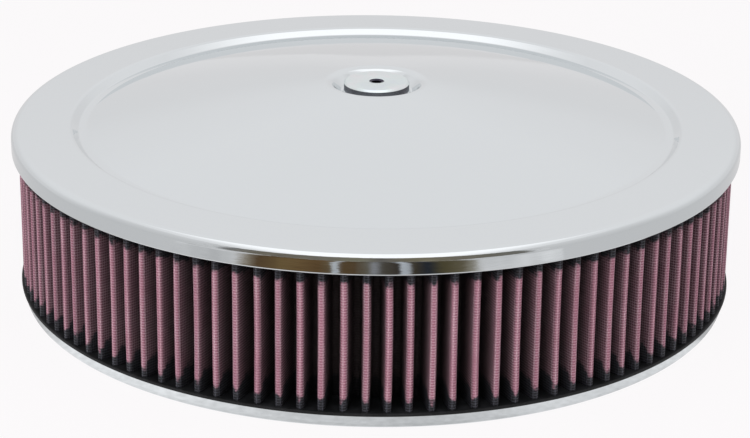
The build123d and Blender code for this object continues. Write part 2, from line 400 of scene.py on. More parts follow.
def chromium_plate(tree):
    """Bright chromium plate on pressed and polished steel: a cool mirror whose reflections
    waver a little with the pressing, under a faint haze left by polishing."""
    place = add(tree, "ShaderNodeTexCoord").outputs["Object"]
    haze = add(tree, "ShaderNodeTexNoise", {"Vector": place, "Scale": 35.0, "Detail": 4.0})
    roughness = add(
        tree, "ShaderNodeMapRange",
        {"Value": haze, "From Min": 0.35, "From Max": 0.7, "To Min": 0.035, "To Max": 0.075},
    )
    # Waves of the pressing, about 25 mm long, and the finer orange peel of the plate
    waves = add(tree, "ShaderNodeTexNoise", {"Vector": place, "Scale": 40.0, "Detail": 1.0})
    pressing = add(
        tree, "ShaderNodeBump", {"Height": waves, "Strength": 0.05, "Distance": 0.0006},
    )
    peel = add(tree, "ShaderNodeTexNoise", {"Vector": place, "Scale": 420.0, "Detail": 2.0})
    plate = add(
        tree, "ShaderNodeBump",
        {"Height": peel, "Strength": 0.02, "Distance": 0.0001, "Normal": pressing},
    )
    # Polishing lines, which run level round the skirt
    flattened = add(
        tree, "ShaderNodeVectorMath", {0: place, 1: (1.0, 1.0, 10.0)}, operation="MULTIPLY",
    )
    lines = add(tree, "ShaderNodeTexNoise", {"Vector": flattened, "Scale": 110.0, "Detail": 2.0})
    polished = add(
        tree, "ShaderNodeBump",
        {"Height": lines, "Strength": 0.3, "Distance": 0.00006, "Normal": plate},
    )
    return add(
        tree, "ShaderNodeBsdfPrincipled",
        {"Base Color": linear("#D7DCDE"), "Metallic": 1.0, "Roughness": roughness,
         "Normal": polished},
    )


def zinc_plate(tree, dark_share_of, turning_pitch=None):
    """Bright zinc plate on turned steel: paler and hazier than chromium, with the faint blue,
    green and violet tints of its passivation, the rings that the lathe left, and a darker colour
    that is painted shade, with some old oil in the knurl. The function that it is given makes
    the share of that darker colour from the place and the radius."""
    place = add(tree, "ShaderNodeTexCoord").outputs["Object"]
    radius = from_axis(tree, place)
    cloud = add(tree, "ShaderNodeTexNoise", {"Vector": place, "Scale": 110.0, "Detail": 3.0})
    tint = add(
        tree, "ShaderNodeValToRGB", {"Fac": cloud},
        stops=[(0.3, linear("#D6DDE4")), (0.5, linear("#D9E3E3")), (0.7, linear("#DFE1E3"))],
    )
    grain = add(tree, "ShaderNodeTexNoise", {"Vector": place, "Scale": 900.0, "Detail": 2.0})
    roughness = add(tree, "ShaderNodeMapRange", {"Value": grain, "To Min": 0.14, "To Max": 0.3})
    # Painted shade, with some oil in the knurl, darkens the zinc by the given share
    colour = add(
        tree, "ShaderNodeMix",
        {"Factor": dark_share_of(tree, place, radius), 6: tint, 7: linear("#44424E")},
        data_type="RGBA",
    )
    height = grain
    if turning_pitch:
        turns = add(
            tree, "ShaderNodeMath", {0: radius, 1: 2 * pi / (turning_pitch * MM)},
            operation="MULTIPLY",
        )
        rings = add(tree, "ShaderNodeMath", {0: turns}, operation="SINE")
        height = add(
            tree, "ShaderNodeMath", {0: rings, 1: 0.5, 2: grain}, operation="MULTIPLY_ADD",
        )
    bump = add(
        tree, "ShaderNodeBump", {"Height": height, "Strength": 0.25, "Distance": 0.00003},
    )
    return add(
        tree, "ShaderNodeBsdfPrincipled",
        {"Base Color": colour, "Metallic": 1.0, "Roughness": roughness, "Normal": bump},
    )


def oil_and_shade_in_knurl(tree, place, radius):
    """Painted shade with some old oil down in the nut's knurl, below its chamfer, and painted shade
    in its hole.
    """
    groove = add(
        tree, "ShaderNodeMapRange",
        {"Value": radius, "From Min": NUT_RADIUS * MM, "From Max": (NUT_RADIUS - KNURL_DEPTH) * MM,
         "To Min": 0.55},
    )
    outside = add(
        tree, "ShaderNodeMath", {0: radius, 1: (NUT_RADIUS - KNURL_DEPTH - DARK_MARGIN) * MM},
        operation="GREATER_THAN",
    )
    height = add(tree, "ShaderNodeSeparateXYZ", {"Vector": place}).outputs["Z"]
    low = add(
        tree, "ShaderNodeMath", {0: height, 1: (NUT_TOP - NUT_TOP_CHAMFER) * MM},
        operation="LESS_THAN",
    )
    both = add(tree, "ShaderNodeMath", {0: outside, 1: low}, operation="MULTIPLY")
    knurl = add(tree, "ShaderNodeMath", {0: both, 1: groove}, operation="MULTIPLY")
    hole = add(
        tree, "ShaderNodeMath", {0: radius, 1: (NUT_BORE_RADIUS + COUNTERSINK / 2) * MM},
        operation="LESS_THAN",
    )
    return add(tree, "ShaderNodeMath", {0: knurl, 1: hole}, operation="MAXIMUM")


def shade_on_stud_end(tree, place, radius):
    """Painted shade on the stud's rough sawn end, down in the nut's hole."""
    height = add(tree, "ShaderNodeSeparateXYZ", {"Vector": place}).outputs["Z"]
    return add(
        tree, "ShaderNodeMath", {0: height, 1: (STUD_TOP - DARK_MARGIN) * MM},
        operation="GREATER_THAN",
    )


def moulded_polyurethane(tree):
    """Black polyurethane as it leaves the mould: nearly black and satin, with a fine pebbled
    skin and small pale scuffs where it has rubbed."""
    place = add(tree, "ShaderNodeTexCoord").outputs["Object"]
    scuffs = add(tree, "ShaderNodeTexNoise", {"Vector": place, "Scale": 160.0, "Detail": 6.0})
    colour = add(
        tree, "ShaderNodeValToRGB", {"Fac": scuffs},
        stops=[(0.45, linear("#0F1012")), (0.8, linear("#26272A"))],
    )
    pebbles = add(tree, "ShaderNodeTexNoise", {"Vector": place, "Scale": 1500.0, "Detail": 3.0})
    bump = add(
        tree, "ShaderNodeBump", {"Height": pebbles, "Strength": 0.35, "Distance": 0.0001},
    )
    roughness = add(tree, "ShaderNodeMapRange", {"Value": scuffs, "To Min": 0.5, "To Max": 0.75})
    return add(
        tree, "ShaderNodeBsdfPrincipled",
        {"Base Color": colour, "Roughness": roughness, "Specular IOR Level": 0.3,
         "Normal": bump},
    )


def gasket_rubber(tree):
    """Black nitrile rubber, cut from sheet: dull charcoal with a fine dusty grain."""
    place = add(tree, "ShaderNodeTexCoord").outputs["Object"]
    grey_share = add(tree, "ShaderNodeTexNoise", {"Vector": place, "Scale": 90.0, "Detail": 5.0})
    colour = add(
        tree, "ShaderNodeValToRGB", {"Fac": grey_share},
        stops=[(0.4, linear("#1B1B1B")), (0.75, linear("#31302F"))],
    )
    grain = add(tree, "ShaderNodeTexNoise", {"Vector": place, "Scale": 1800.0})
    bump = add(
        tree, "ShaderNodeBump", {"Height": grain, "Strength": 0.3, "Distance": 0.00008},
    )
    return add(
        tree, "ShaderNodeBsdfPrincipled",
        {"Base Color": colour, "Roughness": 0.75, "Normal": bump},
    )


def oiled_gauze(tree):
    """Cotton gauze soaked in red oil under a woven aluminium screen: deep maroon cloth behind a
    fine grid of pale pink wires, drawn paler where they stand highest at their crossings as a
    painted highlight, and both darker deeper in the pleats as painted shade. Black polyurethane
    has soaked into it at both ends, further on the pleats' sides than on their tips."""
    wires = add(tree, "ShaderNodeUVMap", uv_map="wire_mm")
    grid = add(tree, "ShaderNodeSeparateXYZ", {"Vector": wires}).outputs
    columns = add(
        tree, "ShaderNodeMath", {0: grid["X"], 1: 1 / WIRE_COLUMN_PITCH}, operation="MULTIPLY",
    )
    rows = add(tree, "ShaderNodeMath", {0: grid["Y"], 1: 1 / WIRE_ROW_PITCH}, operation="MULTIPLY")

    def wire(across, along, dip):
        """How high a wire stands: it is round, and weaves over and under those it crosses, where
        dip is what is left of its height."""
        off = add(tree, "ShaderNodeMath", {0: across, 1: 0.5}, operation="PINGPONG")
        round_top = add(
            tree, "ShaderNodeMapRange",
            {"Value": off, "From Min": WIRE_HALF_WIDTH, "From Max": WIRE_HALF_TOP},
            interpolation_type="SMOOTHSTEP",
        )
        number = add(tree, "ShaderNodeMath", {0: across}, operation="ROUND")
        shifted = add(tree, "ShaderNodeMath", {0: along, 1: number}, operation="ADD")
        turns = add(tree, "ShaderNodeMath", {0: shifted, 1: pi}, operation="MULTIPLY")
        wave = add(tree, "ShaderNodeMath", {0: turns}, operation="COSINE")
        lift = add(
            tree, "ShaderNodeMapRange", {"Value": wave, "From Min": -1.0, "To Min": dip},
        )
        return add(tree, "ShaderNodeMath", {0: round_top, 1: lift}, operation="MULTIPLY")

    next_column = add(tree, "ShaderNodeMath", {0: columns, 1: 1.0}, operation="ADD")
    upright = wire(columns, rows, 0.05)
    level = wire(rows, next_column, 0.4)
    screen = add(tree, "ShaderNodeMath", {0: upright, 1: level}, operation="MAXIMUM")

    place = add(tree, "ShaderNodeTexCoord").outputs["Object"]
    threads = add(tree, "ShaderNodeTexNoise", {"Vector": place, "Scale": 2200.0, "Detail": 2.0})
    cloth = add(
        tree, "ShaderNodeValToRGB", {"Fac": threads},
        stops=[(0.3, linear("#A2667A")), (0.75, linear("#B2768A"))],
    )
    stain = add(tree, "ShaderNodeTexNoise", {"Vector": place, "Scale": 45.0, "Detail": 3.0})
    wire_colour = add(
        tree, "ShaderNodeValToRGB", {"Fac": stain},
        stops=[(0.35, linear("#D0A0AF")), (0.7, linear("#E2C0CB"))],
    )

    # Painted shade: the colours darken down in the pleats, the cloth more than the wires
    depth = add(
        tree, "ShaderNodeMapRange",
        {"Value": from_axis(tree, place), "From Min": PLEAT_TIP_RADIUS * MM,
         "From Max": (PLEAT_TIP_RADIUS - PLEAT_DEPTH) * MM},
    )

    def painted_shade_by_depth(clean, levels):
        """A colour times its painted shade level for its depth in the pleat."""
        level = add(
            tree, "ShaderNodeValToRGB", {"Fac": depth},
            stops=[(share, (level, level, level, 1.0)) for share, level in levels],
        )
        return add(
            tree, "ShaderNodeMix", {"Factor": 1.0, 6: clean, 7: level},
            data_type="RGBA", blend_type="MULTIPLY",
        )

    # The wires' own pale colour, weighted by how high they stand: a painted highlight on their
    # crossings
    clean = add(
        tree, "ShaderNodeMix",
        {"Factor": screen, 6: painted_shade_by_depth(cloth, CLOTH_SHADE_LEVELS), 7: painted_shade_by_depth(wire_colour, WIRE_SHADE_LEVELS)},
        data_type="RGBA",
    )

    # Painted shade: a brown grey lies over both, more of it behind the tips
    grey_share = add(
        tree, "ShaderNodeMapRange",
        {"Value": depth, "From Min": 0.02, "From Max": 0.35, "To Max": 0.42},
    )
    media = add(
        tree, "ShaderNodeMix", {"Factor": grey_share, 6: clean, 7: linear("#3A3633")},
        data_type="RGBA",
    )

    # Height of the black's edge, by the depth in the pleat and an uneven creep
    height = add(tree, "ShaderNodeSeparateXYZ", {"Vector": place}).outputs["Z"]
    creep = add(tree, "ShaderNodeTexNoise", {"Vector": place, "Scale": 330.0, "Detail": 4.0})

    def soaked(tip_edge, side_rise, way):
        """The share of black at a height: way is 1 where it rises from below, -1 from above."""
        reach = add(
            tree, "ShaderNodeMapRange",
            {"Value": depth, "From Max": BLACK_SIDE_DEPTH / PLEAT_DEPTH,
             "To Min": tip_edge * MM, "To Max": (tip_edge + way * side_rise) * MM},
        )
        edge = add(
            tree, "ShaderNodeMath", {0: creep, 1: way * BLACK_RAGGED * MM, 2: reach},
            operation="MULTIPLY_ADD",
        )
        above = add(tree, "ShaderNodeMath", {0: height, 1: edge}, operation="SUBTRACT")
        return add(
            tree, "ShaderNodeMapRange",
            {"Value": above, "From Min": way * BLACK_EDGE_SOFTNESS * MM,
             "From Max": -way * BLACK_EDGE_SOFTNESS * MM},
            interpolation_type="SMOOTHSTEP",
        )

    black = add(
        tree, "ShaderNodeMath",
        {0: soaked(BLACK_TIP_BOTTOM, BLACK_SIDE_RISE_BOTTOM, 1),
         1: soaked(BLACK_TIP_TOP, BLACK_SIDE_RISE_TOP, -1)},
        operation="MAXIMUM",
    )
    black_colour = add(
        tree, "ShaderNodeMix",
        {"Factor": screen, 6: linear("#15151A"), 7: painted_shade_by_depth(linear("#4A4B56"), WIRE_SHADE_LEVELS)},
        data_type="RGBA",
    )
    colour = add(
        tree, "ShaderNodeMix", {"Factor": black, 6: media, 7: black_colour}, data_type="RGBA",
    )
    bare_wire = add(
        tree, "ShaderNodeMath", {0: screen, 1: black}, operation="SUBTRACT", use_clamp=True,
    )
    metallic = add(tree, "ShaderNodeMath", {0: bare_wire, 1: 0.15}, operation="MULTIPLY")
    roughness = add(tree, "ShaderNodeMapRange", {"Value": screen, "To Min": 0.8, "To Max": 0.42})
    bump = add(
        tree, "ShaderNodeBump", {"Height": screen, "Strength": 0.7, "Distance": 0.00025},
    )
    return add(
        tree, "ShaderNodeBsdfPrincipled",
        {"Base Color": colour, "Metallic": metallic, "Roughness": roughness, "Normal": bump},
    )


# Pieces

def build_lid(material):
    """The pressed lid: skirt, flange, step, crown and the recess for the nut."""
    step_foot = (FLANGE_INNER_RADIUS - STEP_RUN, FLANGE_TOP - STEP_DROP)
    crown_foot = np.array([CROWN_FOOT_RADIUS, FLANGE_TOP - STEP_DROP])
    recess_rim = np.array([RECESS_RIM_RADIUS, CROWN_TOP])
    chord = (recess_rim - crown_foot) / np.linalg.norm(recess_rim - crown_foot)
    crown_middle = (crown_foot + recess_rim) / 2 + right_of(chord) * CROWN_BULGE
    corners = [
        (LID_RADIUS - SKIRT_CURL_RUN, SKIRT_BOTTOM + LID_SHEET / 2, 0, 0),
        (LID_RADIUS, SKIRT_BOTTOM + SKIRT_CURL_RISE, SKIRT_CURL_ROUND, 5),
        (LID_RADIUS, FLANGE_TOP, SKIRT_CORNER_ROUND, 12),
        (FLANGE_INNER_RADIUS, FLANGE_TOP + FLANGE_RISE, STEP_ROUND, 6),
        (*step_foot, STEP_FOOT_ROUND, 6),
        (*crown_foot, STEP_FOOT_ROUND, 3),
        (*crown_middle, CROWN_ROUND, 16),
        (*recess_rim, RECESS_RIM_ROUND, 7),
        (RECESS_FLOOR_RADIUS, RECESS_FLOOR, RECESS_FLOOR_ROUND, 5),
        (LID_HOLE_RADIUS + LID_SHEET / 2, RECESS_FLOOR, 0, 0),
    ]
    piece = turned_piece("lid_pressed", sheet_section(corners, LID_SHEET))
    finish_piece(piece, "base", material, "lid")


def build_base_pan(material):
    """The pressed pan: collar, raised middle, step, rest ring and lip. It is drawn the other
    way round from the lid, so that its underside is the drawn skin."""
    step_top_radius = PAN_STEP_FOOT_RADIUS - PAN_STEP_RUN
    corners = [
        (COLLAR_RADIUS, COLLAR_TOP - PAN_SHEET / 2, 0, 0),
        (COLLAR_RADIUS, PAN_SHELF_HEIGHT, COLLAR_BEND_ROUND, 8),
        (step_top_radius, PAN_SHELF_HEIGHT, PAN_STEP_ROUND, 5),
        (PAN_STEP_FOOT_RADIUS, 0, PAN_STEP_ROUND, 5),
        (PAN_LIP_RADIUS, 0, PAN_LIP_CORNER_ROUND, 10),
        (PAN_LIP_RADIUS, PAN_LIP_HEIGHT - PAN_SHEET / 2, 0, 0),
    ]
    piece = turned_piece("base_pan_pressed", sheet_section(corners, PAN_SHEET))
    finish_piece(piece, "base", material, "base_plate")


def build_seals(material):
    """The two moulded rings that the pleats' ends are set in."""
    chamfer = PAN_LIP_CORNER_ROUND - PAN_SHEET
    bottom = [
        (SEAL_INNER_RADIUS, ELEMENT_BOTTOM, SEAL_EDGE_ROUND, 3),
        (SEAL_BODY_RADIUS - chamfer, ELEMENT_BOTTOM, SEAL_EDGE_ROUND, 2),
        (SEAL_BODY_RADIUS, ELEMENT_BOTTOM + chamfer, SEAL_EDGE_ROUND, 2),
        (SEAL_BODY_RADIUS, LEDGE_BOTTOM, LEDGE_INNER_ROUND, 2),
        (SEAL_OUTER_RADIUS, LEDGE_BOTTOM, SEAL_EDGE_ROUND, 3),
        (SEAL_OUTER_RADIUS, LEDGE_TOP, SEAL_EDGE_ROUND, 4),
        (SEAL_INNER_RADIUS, LEDGE_TOP, SEAL_EDGE_ROUND, 4),
    ]
    top = [
        (SEAL_INNER_RADIUS, TOP_SEAL_BOTTOM, SEAL_EDGE_ROUND, 4),
        (SEAL_OUTER_RADIUS, TOP_SEAL_BOTTOM, SEAL_EDGE_ROUND, 4),
        (SEAL_OUTER_RADIUS, ELEMENT_TOP, TOP_SEAL_ROUND, 8),
        (SEAL_INNER_RADIUS, ELEMENT_TOP, SEAL_EDGE_ROUND, 4),
    ]
    for name, corners, node in (
        ("bottom_seal_moulded", bottom, "bottom_seal"),
        ("top_seal_moulded", top, "top_seal"),
    ):
        piece = turned_piece(name, rounded_section(corners, closed=True))
        finish_piece(piece, "base", material, node)


def pleat_folds(lean_share, jitters):
    """Centres of the folds at one height, tip and valley by turns, all in one line round."""
    tip_centre = PLEAT_TIP_RADIUS - PLEAT_TIP_FOLD_RADIUS
    valley_centre = PLEAT_TIP_RADIUS - PLEAT_DEPTH + PLEAT_VALLEY_FOLD_RADIUS
    half_pitch = pi / PLEAT_COUNT
    centres = []
    for i, (tip_in, tip_shift, valley_shift, bow) in enumerate(jitters):
        tip_angle = radians(PLEAT_FIRST_ANGLE) + 2 * half_pitch * i
        tip_angle += radians(tip_shift + bow * lean_share)
        valley_angle = radians(PLEAT_FIRST_ANGLE) + 2 * half_pitch * (i + 0.5)
        valley_angle += radians(valley_shift)
        for radius, angle in (
            (tip_centre - tip_in, tip_angle),
            (valley_centre, valley_angle),
        ):
            centres.append(np.array([radius * cos(angle), radius * sin(angle)]))
    return centres


def pleat_ring(centres, fold_steps):
    """Points on both skins of the ribbon at one height, with their normals and the length of
    ribbon up to each."""
    count = len(centres)
    tip_middle = PLEAT_TIP_FOLD_RADIUS - PLEAT_THICKNESS / 2
    valley_middle = PLEAT_VALLEY_FOLD_RADIUS - PLEAT_THICKNESS / 2
    runs = []
    for i in range(count):
        gap = centres[(i + 1) % count] - centres[i]
        swing = asin((tip_middle + valley_middle) / hypot(*gap))
        way = 1 if i % 2 == 0 else -1
        runs.append(atan2(gap[1], gap[0]) + way * swing)
    outside, inside, normals, lengths = [], [], [], []
    length = 0.0
    previous = None
    for i, centre in enumerate(centres):
        left_turn = i % 2 == 0
        start = runs[i - 1]
        turn = (runs[i] - start) % (2 * pi)
        if not left_turn:
            turn -= 2 * pi
        for step in range(fold_steps + 1):
            heading = start + turn * step / fold_steps
            right = np.array([sin(heading), -cos(heading)])
            middle = centre + right * (tip_middle if left_turn else -valley_middle)
            if previous is not None:
                length += hypot(*(middle - previous))
            previous = middle
            outside.append(middle + right * PLEAT_THICKNESS / 2)
            inside.append(middle - right * PLEAT_THICKNESS / 2)
            normals.append(right)
            lengths.append(length)
    return np.array(outside), np.array(inside), np.array(normals), np.array(lengths)


def build_pleats(material, fold_steps=8, height_steps=11):
    """The gauze and its screens, folded as one ribbon. Each pleat is set a little off its
    place and bows a little between the seals."""
    draw = random.Random(14)
    jitters = [
        (draw.uniform(0.0, TIP_SETBACK), draw.uniform(-TIP_SHIFT, TIP_SHIFT),
         draw.uniform(-VALLEY_SHIFT, VALLEY_SHIFT), draw.uniform(-PLEAT_BOW, PLEAT_BOW))
        for _ in range(PLEAT_COUNT)
    ]
    low = LEDGE_TOP - PLEAT_SUNK
    high = TOP_SEAL_BOTTOM + PLEAT_SUNK
    outer_rows, inner_rows, row_normals, row_lengths = [], [], [], []
    heights = np.linspace(low, high, height_steps + 1)
    for height in heights:
        bend = sin(pi * (height - low) / (high - low))
        outside, inside, normals, lengths = pleat_ring(pleat_folds(bend, jitters), fold_steps)
        tall = np.full((len(outside), 1), height)
        flat = np.zeros((len(outside), 1))
        outer_rows.append(np.hstack([outside, tall]))
        inner_rows.append(np.hstack([inside, tall]))
        row_normals.append(np.hstack([normals, flat]))
        row_lengths.append(lengths)
    rows = np.array(outer_rows + inner_rows[::-1])
    normals = np.array(row_normals + [-n for n in row_normals[::-1]])
    piece = skin_mesh("pleats_folded", rows, normals=normals)
    # The wire grid's coordinates in millimetres: round the ribbon, and up it
    ring_count = rows.shape[1]
    lengths = row_lengths[0]
    whole = lengths[-1] + hypot(*(rows[0, 0, :2] - rows[0, -1, :2]))
    whole_columns = 2 * round(whole / WIRE_COLUMN_PITCH / 2)
    stretch = whole_columns * WIRE_COLUMN_PITCH / whole
    around = np.append(lengths, whole) * stretch
    corner = np.zeros(len(piece.data.loops), int)
    piece.data.loops.foreach_get("vertex_index", corner)
    corner = corner.reshape(-1, 4)
    column = corner % ring_count
    # A face over the ribbon's start takes the whole length there instead of nought
    wraps = (column.max(axis=1) - column.min(axis=1)) > 1
    column = np.where(wraps[:, None] & (column == 0), ring_count, column)
    height_of = rows.reshape(-1, 3)[corner, 2]
    uv = np.stack([around[column], height_of], axis=-1)
    layer = piece.data.uv_layers.new(name="wire_mm")
    layer.data.foreach_set("uv", uv.reshape(-1).astype(np.float32))
    finish_piece(piece, "base", material, "pleated_media")


def thread_radius(angles, height, minor=THREAD_MINOR_RADIUS):
    """A right-hand 1/4-20 thread's radius at each angle, at one height: 60 degree flanks with
    an eighth of the pitch flat at the crest and a quarter at the root."""
    phase = (height / THREAD_PITCH - angles / (2 * pi)) % 1.0
    ridge = 1 - np.abs(2 * phase - 1)
    full = THREAD_MAJOR_RADIUS - THREAD_MINOR_RADIUS
    radius = THREAD_MINOR_RADIUS + full * np.clip((ridge - 0.25) / 0.625, 0, 1)
    return np.maximum(radius, minor)


def ring_row(radii, angles, height):
    """A row of points at these radii and angles, all at one height."""
    return np.stack(
        [radii * np.cos(angles), radii * np.sin(angles), np.full(len(angles), height)], axis=-1,
    )


def build_stud(material):
    """The stud, with real threads at both ends."""
    angles = ring_angles(STUD_STEPS)
    step = THREAD_PITCH / THREAD_STEPS_PER_PITCH

    def threaded(bottom, top):
        heights = np.linspace(bottom, top, round((top - bottom) / step) + 1)
        rows = []
        for height in heights:
            from_end = min(height - STUD_BOTTOM, STUD_TOP - height)
            radii = np.minimum(thread_radius(angles, height), STUD_END_RADIUS + from_end)
            rows.append(ring_row(radii, angles, height))
        return rows

    shank = np.full(len(angles), STUD_SHANK_RADIUS)
    rows = threaded(STUD_BOTTOM, STUD_LOWER_THREAD_END)
    rows.append(ring_row(shank, angles, STUD_LOWER_THREAD_END + THREAD_RUN_OUT))
    rows.append(ring_row(shank, angles, STUD_UPPER_THREAD_START - THREAD_RUN_OUT))
    rows += threaded(STUD_UPPER_THREAD_START, STUD_TOP)
    piece = skin_mesh("stud_threaded", np.array(rows), closed=False)
    finish_piece(piece, "base", material, "stud")


def build_nut(material):
    """The round nut: diamond knurl, chamfers, countersunk and threaded hole, and spigot."""
    angles = ring_angles(KNURL_COUNT * 4)
    knurl_bottom = NUT_BOTTOM + NUT_BOTTOM_CHAMFER
    knurl_top = NUT_TOP - NUT_TOP_CHAMFER
    knurl_heights = np.arange(knurl_bottom, knurl_top, KNURL_PITCH / 4)[1:]
    thread_top = NUT_TOP - COUNTERSINK
    thread_rows = round((thread_top - SPIGOT_END) / THREAD_PITCH * THREAD_STEPS_PER_PITCH)
    thread_heights = np.linspace(thread_top, SPIGOT_END, thread_rows + 1)
    corners = [
        (NUT_BORE_RADIUS + NUT_LEAD_IN, SPIGOT_END, 0, 0),
        (SPIGOT_RADIUS, SPIGOT_END, 0.2, 2),
        (SPIGOT_RADIUS, NUT_BOTTOM, 0.1, 1),
        (NUT_RADIUS - NUT_BOTTOM_CHAMFER, NUT_BOTTOM, NUT_EDGE_ROUND, 2),
        (NUT_RADIUS, knurl_bottom, NUT_EDGE_ROUND, 2),
        *[(NUT_RADIUS, height, 0, 0) for height in knurl_heights],
        (NUT_RADIUS, knurl_top, NUT_EDGE_ROUND, 2),
        (NUT_RADIUS - NUT_TOP_CHAMFER, NUT_TOP, 0.25, 4),
        (NUT_BORE_RADIUS + COUNTERSINK, NUT_TOP, 0.12, 3),
        *[(NUT_BORE_RADIUS, height, 0, 0) for height in thread_heights],
    ]
    points, _ = rounded_section(corners, closed=True)
    rows = []
    for radius, height in points:
        radii = np.full(len(angles), radius)
        from_knurl_end = min(height - knurl_bottom, knurl_top - height)
        if radius > NUT_RADIUS - SAME_RADIUS and from_knurl_end > KNURL_MARGIN:
            around = angles * KNURL_COUNT / (2 * pi)
            up = (height - knurl_bottom) / KNURL_PITCH
            first = 1 - np.abs(2 * ((around + up) % 1.0) - 1)
            second = 1 - np.abs(2 * ((around - up) % 1.0) - 1)
            radii = radii - KNURL_DEPTH * (1 - np.minimum(first, second))
        if radius < NUT_BORE_RADIUS + SAME_RADIUS:
            clearance = NUT_BORE_RADIUS - THREAD_MAJOR_RADIUS
            radii = thread_radius(angles, height, NUT_THREAD_MINOR_RADIUS) + clearance
        rows.append(ring_row(radii, angles, height))
    piece = skin_mesh("lid_nut_knurled", np.array(rows))
    finish_piece(piece, "nut", material, "lid_nut")


def build_rubber_rings(material):
    """The neck gasket and the nut's captive washer."""
    def ring(name, inner, outer, bottom, top, rounding, body, node):
        corners = [(inner, bottom), (outer, bottom), (outer, top), (inner, top)]
        section = rounded_section([(*c, rounding, 3) for c in corners], closed=True)
        piece = turned_piece(name, section, LATHE_STEPS // 2)
        finish_piece(piece, body, material, node)

    ring("neck_gasket_cut", GASKET_INNER_RADIUS, GASKET_OUTER_RADIUS, GASKET_BOTTOM,
         PAN_SHELF_HEIGHT, GASKET_EDGE_ROUND, "base", "neck_gasket")
    ring("nut_washer_cut", WASHER_INNER_RADIUS, WASHER_OUTER_RADIUS, RECESS_FLOOR,
         NUT_BOTTOM, WASHER_EDGE_ROUND, "washer", "nut_washer")


# Studio

def seen_directly(tree):
    """1 for rays that show the background: camera, mirror and see-through ones."""
    rays = add(tree, "ShaderNodeLightPath").outputs
    first = add(
        tree, "ShaderNodeMath", {0: rays["Is Camera Ray"], 1: rays["Is Glossy Ray"]},
        operation="ADD",
    )
    return add(
        tree, "ShaderNodeMath", {0: first, 1: rays["Is Transmission Ray"]},
        operation="ADD", use_clamp=True,
    )


def level_colour(level):
    """The studio's white at a level of it."""
    return [channel * level for channel in linear("#FDFBFC")[:3]] + [1.0]


def build_world():
    """White walls and ceiling. The side in front of the object, where the camera stands, is
    greyer, and the chrome shows it."""
    world = bpy.data.worlds.new("studio_walls")
    world.use_nodes = True
    tree = world.node_tree
    tree.nodes.clear()
    direction = add(tree, "ShaderNodeTexCoord").outputs["Generated"]
    parts = add(tree, "ShaderNodeSeparateXYZ", {"Vector": direction}).outputs
    share = add(tree, "ShaderNodeMapRange", {"Value": parts["Z"], "From Min": -1.0})

    def wall_colour(levels):
        """The studio's white at its level for the elevation."""
        return add(
            tree, "ShaderNodeValToRGB", {"Fac": share},
            stops=[
                ((sin(radians(elevation)) + 1) / 2, level_colour(level))
                for elevation, level in levels
            ],
        )

    behind = add(
        tree, "ShaderNodeMapRange", {"Value": parts["Y"], "From Min": -0.1, "From Max": 0.5},
        interpolation_type="SMOOTHSTEP",
    )
    walls = add(
        tree, "ShaderNodeMix",
        {"Factor": behind, 6: wall_colour(FRONT_WALL_LEVELS), 7: wall_colour(BACK_WALL_LEVELS)},
        data_type="RGBA",
    )
    rays = add(tree, "ShaderNodeLightPath").outputs
    seen = add(
        tree, "ShaderNodeMix",
        {"Factor": rays["Is Camera Ray"], 6: walls, 7: level_colour(1.0)}, data_type="RGBA",
    )
    strength = add(
        tree, "ShaderNodeMapRange", {"Value": seen_directly(tree), "To Min": WALL_LIGHT},
    )
    background = add(tree, "ShaderNodeBackground", {"Color": seen, "Strength": strength})
    add(tree, "ShaderNodeOutputWorld", {"Surface": background})
    bpy.context.scene.world = world


def flat_panel(name, corners, material):
    """A flat panel of the studio, through these corners in metres."""
    mesh = bpy.data.meshes.new(name)
    mesh.from_pydata([Vector(corner) for corner in corners], [], [list(range(len(corners)))])
    mesh.materials.append(material)
    panel = new_object(name, mesh)
    return panel


def white_paper(tree):
    """A white sweep of paper. What the camera and the chrome see is mostly its own white, and
    the rest takes the light and so keeps the object's shadow."""
    lit = add(tree, "ShaderNodeBsdfDiffuse", {"Color": linear("#F7F5F6")})
    white = add(tree, "ShaderNodeEmission", {"Color": level_colour(1.0)})
    share = add(
        tree, "ShaderNodeMath", {0: seen_directly(tree), 1: PAPER_OWN_WHITE},
        operation="MULTIPLY",
    )
    return add(tree, "ShaderNodeMixShader", {0: share, 1: lit, 2: white})


def build_floor():
    """The sweep of paper under the object."""
    half = FLOOR_HALF_SIZE
    corners = [(-half, -half, 0), (half, -half, 0), (half, half, 0), (-half, half, 0)]
    flat_panel("floor", corners, node_material("paper_sweep_white", white_paper))


def reflected_card(name, corners, shine_of, *details):
    """A card that only the chrome sees: no camera, no shadow, and no light from it."""
    card = flat_panel(name, corners, node_material(name, shine_of, *details))
    card.visible_camera = False
    card.visible_diffuse = False
    card.visible_shadow = False
    card.visible_transmission = False


def colours_round_axis(tree, place, stops, reach, noise_scale, shift):
    """Colours round the axis from a list of (degrees from straight in front, linear colour), up
    to reach on both sides. Their borders waver by shift degrees."""
    parts = add(tree, "ShaderNodeSeparateXYZ", {"Vector": place}).outputs
    towards = add(tree, "ShaderNodeMath", {0: parts["Y"], 1: -1.0}, operation="MULTIPLY")
    turn = add(tree, "ShaderNodeMath", {0: parts["X"], 1: towards}, operation="ARCTAN2")
    ragged = add(
        tree, "ShaderNodeTexNoise",
        {"Vector": place, "Scale": noise_scale, "Detail": 8.0, "Roughness": 0.8},
    )
    shifted = add(
        tree, "ShaderNodeMath", {0: ragged, 1: radians(shift), 2: turn},
        operation="MULTIPLY_ADD",
    )
    share = add(
        tree, "ShaderNodeMapRange",
        {"Value": shifted, "From Min": radians(shift / 2 - reach),
         "From Max": radians(shift / 2 + reach)},
    )
    return add(
        tree, "ShaderNodeValToRGB", {"Fac": share},
        stops=[((degrees + reach) / (2 * reach), colour) for degrees, colour in stops],
    )


